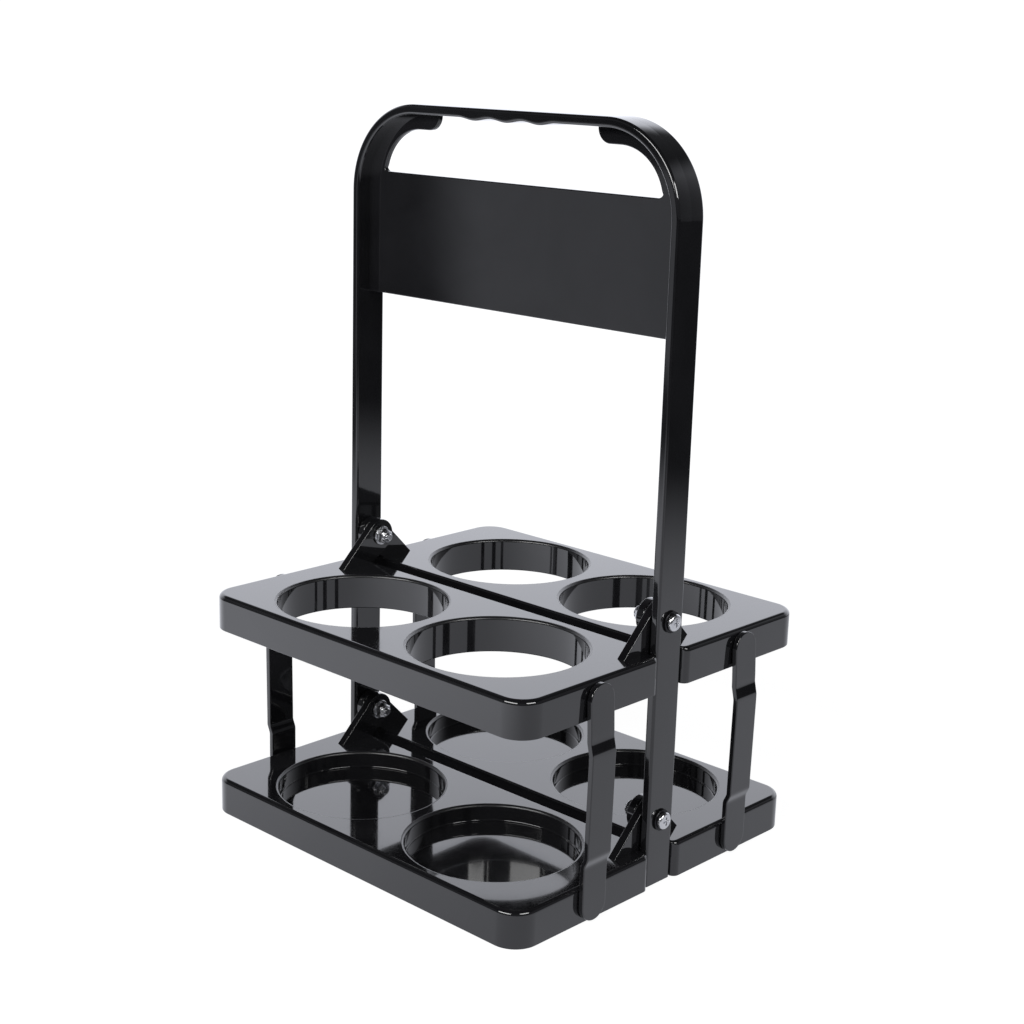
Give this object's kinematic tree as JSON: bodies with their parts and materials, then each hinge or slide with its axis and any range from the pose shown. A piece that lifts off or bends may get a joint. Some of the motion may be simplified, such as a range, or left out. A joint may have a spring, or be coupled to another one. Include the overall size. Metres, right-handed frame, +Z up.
{
  "type": "drink carrier",
  "caption": "Folding drink carrier: an arched frame with a hand grip carries paired cup trays on two levels, which fold up against it on cross bolts.",
  "frame": {"origin": "on the floor below the middle of the handle, at the centre of the carrier's footprint", "axes": "+X along the handle to the right, +Y towards the back half, +Z up"},
  "size_m": [0.221, 0.1968, 0.346],
  "materials": {
    "black_plastic": "glossy moulded black plastic",
    "zinc_plate": "bright zinc plate",
    "black_washer_metal": "blackened steel"
  },
  "bodies": {
    "frame": {"handle_frame": "black_plastic", "upper_left_bolt": "zinc_plate", "upper_right_bolt": "zinc_plate", "lower_left_bolt": "zinc_plate", "lower_right_bolt": "zinc_plate", "upper_left_outer_washer": "black_washer_metal", "upper_right_outer_washer": "black_washer_metal", "lower_left_outer_washer": "black_washer_metal", "lower_right_outer_washer": "black_washer_metal", "upper_left_inner_washer": "zinc_plate", "upper_right_inner_washer": "zinc_plate", "lower_left_inner_washer": "zinc_plate", "lower_right_inner_washer": "zinc_plate", "upper_left_nut": "zinc_plate", "upper_right_nut": "zinc_plate", "lower_left_nut": "zinc_plate", "lower_right_nut": "zinc_plate"},
    "upper_front": {"upper_front_tray": "black_plastic"},
    "upper_back": {"upper_back_tray": "black_plastic"},
    "lower_front": {"lower_front_tray": "black_plastic"},
    "lower_back": {"lower_back_tray": "black_plastic"},
    "link_front_left": {"front_left_link": "black_plastic"},
    "link_front_right": {"front_right_link": "black_plastic"},
    "link_back_left": {"back_left_link": "black_plastic"},
    "link_back_right": {"back_right_link": "black_plastic"}
  },
  "joints": [
    {"name": "upper_front_fold", "type": "hinge", "parent": "frame", "child": "upper_front", "pos_m": [0, 0, 0.1272], "axis": [-1, 0, 0], "range_deg": [0, 90]},
    {"name": "upper_back_fold", "type": "hinge", "parent": "frame", "child": "upper_back", "pos_m": [0, 0, 0.1272], "axis": [1, 0, 0], "range_deg": [0, 90]},
    {"name": "lower_front_fold", "type": "hinge", "parent": "frame", "child": "lower_front", "pos_m": [0, 0, 0.0316], "axis": [-1, 0, 0], "range_deg": [0, 90]},
    {"name": "lower_back_fold", "type": "hinge", "parent": "frame", "child": "lower_back", "pos_m": [0, 0, 0.0316], "axis": [1, 0, 0], "range_deg": [0, 90]},
    {"name": "front_left_link_pivot", "type": "hinge", "parent": "upper_front", "child": "link_front_left", "pos_m": [-0.105, -0.0513, 0.1044], "axis": [-1, 0, 0], "range_deg": [-90, 0]},
    {"name": "front_right_link_pivot", "type": "hinge", "parent": "upper_front", "child": "link_front_right", "pos_m": [0.105, -0.0513, 0.1044], "axis": [-1, 0, 0], "range_deg": [-90, 0]},
    {"name": "back_left_link_pivot", "type": "hinge", "parent": "upper_back", "child": "link_back_left", "pos_m": [-0.105, 0.0513, 0.1044], "axis": [1, 0, 0], "range_deg": [-90, 0]},
    {"name": "back_right_link_pivot", "type": "hinge", "parent": "upper_back", "child": "link_back_right", "pos_m": [0.105, 0.0513, 0.1044], "axis": [1, 0, 0], "range_deg": [-90, 0]}
  ],
  "couplings": [
    {"joint": "lower_front_fold", "follows": "upper_front_fold", "ratio": 1},
    {"joint": "lower_back_fold", "follows": "upper_back_fold", "ratio": 1},
    {"joint": "front_left_link_pivot", "follows": "upper_front_fold", "ratio": -1},
    {"joint": "front_right_link_pivot", "follows": "upper_front_fold", "ratio": -1},
    {"joint": "back_left_link_pivot", "follows": "upper_back_fold", "ratio": -1},
    {"joint": "back_right_link_pivot", "follows": "upper_back_fold", "ratio": -1}
  ]
}
